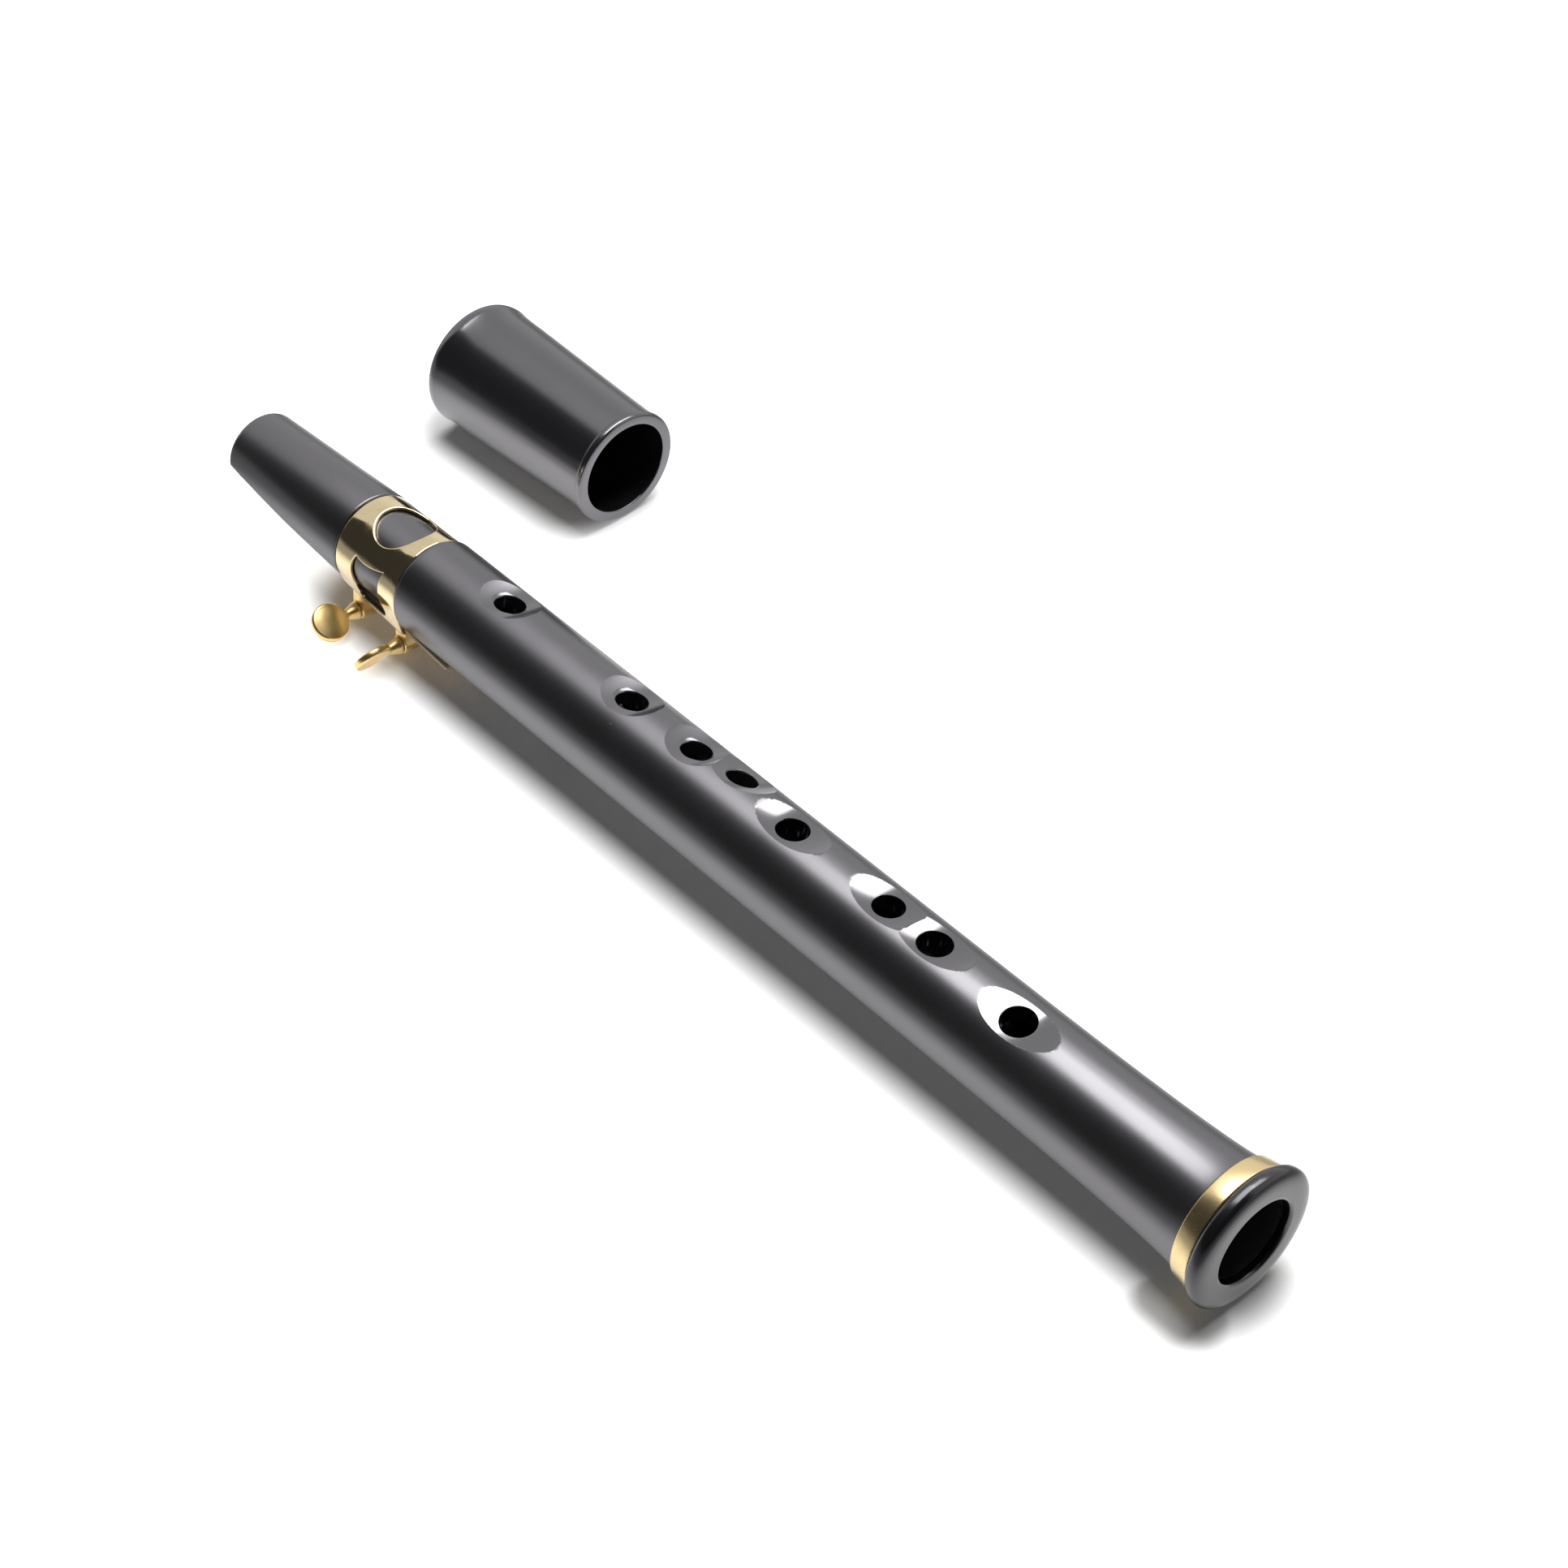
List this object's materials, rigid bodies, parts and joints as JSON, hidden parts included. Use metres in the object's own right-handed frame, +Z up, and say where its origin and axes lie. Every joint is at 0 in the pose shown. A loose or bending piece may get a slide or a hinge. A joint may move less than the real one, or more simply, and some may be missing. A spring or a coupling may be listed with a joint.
{
  "type": "pocket saxophone",
  "caption": "Keyless pocket saxophone: black moulded pipe with scooped finger holes, gold ligature and cane reed, gold bell band and rounded rim, with a loose mouthpiece cap.",
  "frame": {"origin": "on the table, under the middle of the whole: pipe and cap as they lie", "axes": "+X along the pipe from the mouthpiece towards the bell, +Y across the table from the pipe to the cap, +Z up, the way the finger holes face"},
  "size_m": [0.3038, 0.0942, 0.0308],
  "materials": {
    "satin_black": "satin black moulded plastic",
    "gloss_black": "glossy black moulded plastic",
    "polished_brass": "polished and lacquered brass",
    "cane": "bare cane with its smooth bark underneath"
  },
  "bodies": {
    "pipe": {"body": "satin_black", "bell_band": "polished_brass", "bell_rim": "gloss_black", "ligature_band": "polished_brass", "front_plain_post": "polished_brass", "front_threaded_post": "polished_brass", "rear_plain_post": "polished_brass", "rear_threaded_post": "polished_brass"},
    "reed": {"reed": "cane"},
    "front_screw": {"front_thumbscrew": "polished_brass"},
    "rear_screw": {"rear_thumbscrew": "polished_brass"},
    "cap": {"mouthpiece_cap": "satin_black"}
  },
  "joints": [
    {"name": "front_screw_turn", "type": "hinge", "parent": "pipe", "child": "front_screw", "pos_m": [-0.10618, -0.0272, 0.00286], "axis": [0.0005, -0.9975, 0.071], "range_deg": [0, 450]},
    {"name": "rear_screw_turn", "type": "hinge", "parent": "pipe", "child": "rear_screw", "pos_m": [-0.09088, -0.0272, 0.00276], "axis": [0.0005, -0.9975, 0.071], "range_deg": [0, 450]},
    {"name": "reed_slide", "type": "slide", "parent": "pipe", "child": "reed", "axis": [-0.9946, 0.0069, 0.1039], "range_m": [-0.0015, 0.075]},
    {"name": "cap_lift", "type": "slide", "parent": "pipe", "child": "cap", "axis": [0, 0, 1], "range_m": [0, 0.06]}
  ]
}
